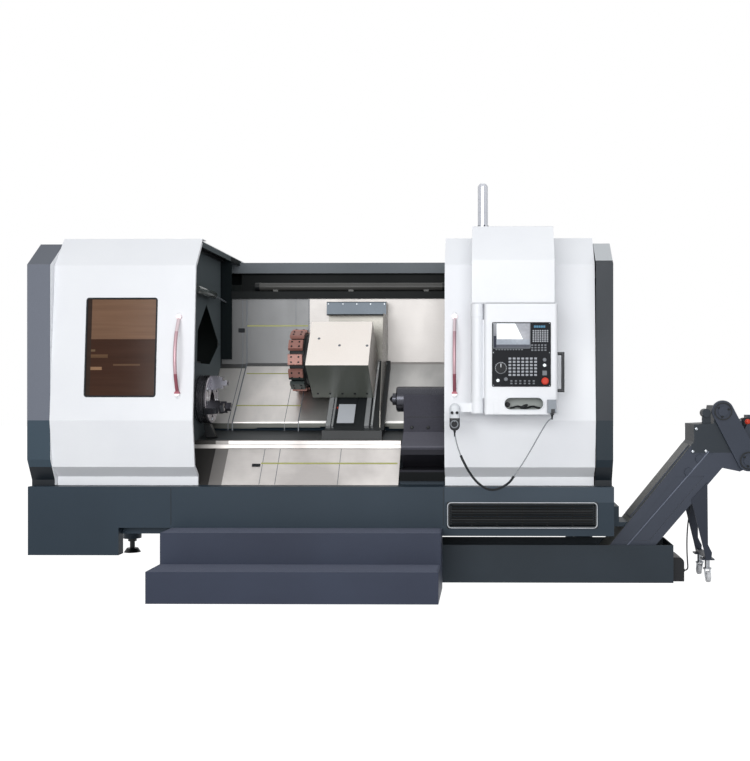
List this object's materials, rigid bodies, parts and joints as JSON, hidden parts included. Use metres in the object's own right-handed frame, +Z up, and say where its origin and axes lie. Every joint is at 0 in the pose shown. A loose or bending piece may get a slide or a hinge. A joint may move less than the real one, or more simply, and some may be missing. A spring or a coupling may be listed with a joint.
{
  "type": "slant-bed turning lathe",
  "caption": "Enclosed slant-bed turning lathe with sliding doors, turret, tailstock, swing-out control box, step and climbing chip conveyor.",
  "frame": {"origin": "centre of the outline on the floor", "axes": "+X to the operator's right along the spindle axis, +Y to the back, +Z up"},
  "size_m": [5.273, 2.6106, 2.891],
  "materials": {
    "dark_paint": "satin dark grey enamel",
    "step_paint": "satin slate enamel",
    "slate_paint": "satin slate enamel",
    "grey_paint": "satin grey enamel",
    "white_paint": "satin white enamel",
    "black_paint": "satin black enamel",
    "black_steel": "blackened steel",
    "lamp_glass": "tubular lamp, dull grey-brown",
    "dark_cast_iron": "painted casting",
    "cream_cast_iron": "cream painted casting",
    "guard_paint": "satin blue-grey enamel",
    "stainless": "brushed sheet",
    "ground_steel": "ground",
    "chuck_steel": "turned",
    "tool_bronze": "reddish-brown protective coating",
    "chrome_bar": "polished",
    "zinc_steel": "zinc plated",
    "white_plastic": "gloss",
    "black_plastic": "fine texture",
    "grey_plastic": "fine texture",
    "red_plastic": "gloss",
    "green_plastic": "gloss",
    "amber_glass": "tinted laminated pane",
    "black_rubber": "matt",
    "caster_rubber": "matt"
  },
  "bodies": {
    "machine": {"base_frame": "dark_paint", "leveling_mounts": "black_steel", "operator_steps": "step_paint", "vent_grille": "black_steel", "end_covers": "grey_paint", "headstock_hood": "grey_paint", "tail_hood": "white_paint", "rear_cover": "white_paint", "top_beam": "black_paint", "work_light": "lamp_glass", "headstock_casting": "dark_cast_iron", "splash_apron": "stainless", "left_way_cover": "stainless", "right_way_cover": "stainless", "control_arm": "white_paint", "tower_light": "white_plastic", "conveyor_tray": "dark_paint", "conveyor_body": "slate_paint", "chain_guard": "slate_paint", "gear_motor": "slate_paint", "support_leg": "slate_paint", "conveyor_cable": "black_rubber", "mpg_pendant": "black_plastic", "pendant_cable": "black_rubber"},
    "left_door": {"left_door": "white_paint", "door_window": "amber_glass", "left_door_handle": "chrome_bar"},
    "right_door": {"right_door": "white_paint", "right_door_handle": "chrome_bar"},
    "control_box": {"control_box": "white_paint", "control_panel": "black_plastic", "cable_connector": "black_plastic"},
    "spindle": {"spindle": "ground_steel", "chuck_body": "chuck_steel"},
    "jaw_1": {"chuck_jaw_1": "chuck_steel"},
    "jaw_2": {"chuck_jaw_2": "chuck_steel"},
    "jaw_3": {"chuck_jaw_3": "chuck_steel"},
    "carriage": {"saddle": "dark_cast_iron", "slide_rails": "ground_steel", "carriage_cover": "stainless", "slide_guard": "guard_paint"},
    "mid_cover": {"left_mid_cover": "stainless"},
    "cross_slide": {"turret_housing": "cream_cast_iron"},
    "turret": {"turret_disc": "black_steel", "tool_blocks": "tool_bronze"},
    "tailstock": {"tailstock_body": "dark_cast_iron"},
    "quill": {"tailstock_quill": "ground_steel"},
    "live_center": {"live_center": "ground_steel"},
    "override_dial": {"override_dial": "black_plastic"},
    "estop_button": {"estop_button": "red_plastic"},
    "power_button": {"power_button": "green_plastic"},
    "cycle_button": {"cycle_button": "green_plastic"},
    "mpg_wheel": {"mpg_wheel": "grey_plastic"},
    "mpg_axis_knob": {"mpg_axis_knob": "black_plastic"},
    "mpg_scale_knob": {"mpg_scale_knob": "black_plastic"},
    "cabinet_door": {"cabinet_door": "white_paint"},
    "caster_fork_1": {"caster_fork_1": "zinc_steel"},
    "caster_fork_2": {"caster_fork_2": "zinc_steel"},
    "caster_wheel_1": {"caster_wheel_1": "caster_rubber"},
    "caster_wheel_2": {"caster_wheel_2": "caster_rubber"}
  },
  "joints": [
    {"name": "left_door_slide", "type": "slide", "parent": "machine", "child": "left_door", "axis": [1, 0, 0], "range_m": [0, 0.882]},
    {"name": "right_door_slide", "type": "slide", "parent": "machine", "child": "right_door", "axis": [1, 0, 0], "range_m": [-0.882, 0]},
    {"name": "control_box_swing", "type": "hinge", "parent": "machine", "child": "control_box", "pos_m": [0.5385, -0.96425, 1.6], "axis": [0, 0, -1], "range_deg": [0, 75]},
    {"name": "spindle_spin", "type": "hinge", "parent": "machine", "child": "spindle", "pos_m": [-1.7315, -0.27925, 1.32], "axis": [1, 0, 0], "continuous": true},
    {"name": "jaw_1_slide", "type": "slide", "parent": "spindle", "child": "jaw_1", "axis": [0, 0, 1], "range_m": [-0.012, 0.006]},
    {"name": "jaw_2_slide", "type": "slide", "parent": "spindle", "child": "jaw_2", "axis": [0, -0.866, -0.5], "range_m": [-0.012, 0.006]},
    {"name": "jaw_3_slide", "type": "slide", "parent": "spindle", "child": "jaw_3", "axis": [0, 0.866, -0.5], "range_m": [-0.012, 0.006]},
    {"name": "carriage_slide", "type": "slide", "parent": "machine", "child": "carriage", "axis": [1, 0, 0], "range_m": [-0.4, 0.14]},
    {"name": "mid_cover_slide", "type": "slide", "parent": "machine", "child": "mid_cover", "axis": [1, 0, 0], "range_m": [-0.24, 0.084]},
    {"name": "cross_slide_feed", "type": "slide", "parent": "carriage", "child": "cross_slide", "axis": [0, 0.7071, 0.7071], "range_m": [-0.15, 0.09]},
    {"name": "turret_index", "type": "hinge", "parent": "cross_slide", "child": "turret", "pos_m": [-0.8415, 0.01975, 1.619], "axis": [1, 0, 0], "continuous": true},
    {"name": "tailstock_slide", "type": "slide", "parent": "machine", "child": "tailstock", "axis": [1, 0, 0], "range_m": [0, 0.4]},
    {"name": "quill_slide", "type": "slide", "parent": "tailstock", "child": "quill", "axis": [1, 0, 0], "range_m": [-0.12, 0.02]},
    {"name": "live_center_spin", "type": "hinge", "parent": "quill", "child": "live_center", "pos_m": [-0.0315, -0.27925, 1.32], "axis": [1, 0, 0], "continuous": true},
    {"name": "override_dial_turn", "type": "hinge", "parent": "control_box", "child": "override_dial", "pos_m": [0.6981, -1.06925, 1.537], "axis": [0, -1, 0], "range_deg": [-135, 135]},
    {"name": "estop_press", "type": "slide", "parent": "control_box", "child": "estop_button", "axis": [0, 1, 0], "range_m": [0, 0.005], "stiffness_N_per_m": 1600, "springref_m": -0.002},
    {"name": "power_press", "type": "slide", "parent": "control_box", "child": "power_button", "axis": [0, 1, 0], "range_m": [0, 0.003], "stiffness_N_per_m": 800, "springref_m": -0.002},
    {"name": "cycle_press", "type": "slide", "parent": "control_box", "child": "cycle_button", "axis": [0, 1, 0], "range_m": [0, 0.003], "stiffness_N_per_m": 800, "springref_m": -0.002},
    {"name": "mpg_wheel_turn", "type": "hinge", "parent": "machine", "child": "mpg_wheel", "pos_m": [0.3865, -1.04425, 1.16], "axis": [0, -1, 0], "continuous": true},
    {"name": "mpg_axis_turn", "type": "hinge", "parent": "machine", "child": "mpg_axis_knob", "pos_m": [0.3695, -1.04425, 1.236], "axis": [0, -1, 0], "range_deg": [-60, 60]},
    {"name": "mpg_scale_turn", "type": "hinge", "parent": "machine", "child": "mpg_scale_knob", "pos_m": [0.4035, -1.04425, 1.236], "axis": [0, -1, 0], "range_deg": [-60, 60]},
    {"name": "cabinet_door_hinge", "type": "hinge", "parent": "machine", "child": "cabinet_door", "pos_m": [-2.2095, 1.30525, 1.335], "axis": [0, 0, 1], "range_deg": [0, 110]},
    {"name": "caster_swivel_1", "type": "hinge", "parent": "machine", "child": "caster_fork_1", "pos_m": [2.2025, -0.49125, 0.12], "axis": [0, 0, 1], "continuous": true},
    {"name": "caster_roll_1", "type": "hinge", "parent": "caster_fork_1", "child": "caster_wheel_1", "pos_m": [2.2025, -0.51725, 0.04], "axis": [1, 0, 0], "continuous": true},
    {"name": "caster_swivel_2", "type": "hinge", "parent": "machine", "child": "caster_fork_2", "pos_m": [2.2025, -0.22725, 0.12], "axis": [0, 0, 1], "continuous": true},
    {"name": "caster_roll_2", "type": "hinge", "parent": "caster_fork_2", "child": "caster_wheel_2", "pos_m": [2.2025, -0.20125, 0.04], "axis": [1, 0, 0], "continuous": true}
  ],
  "couplings": [
    {"joint": "jaw_2_slide", "follows": "jaw_1_slide", "ratio": 1},
    {"joint": "jaw_3_slide", "follows": "jaw_1_slide", "ratio": 1},
    {"joint": "mid_cover_slide", "follows": "carriage_slide", "ratio": 0.6}
  ]
}
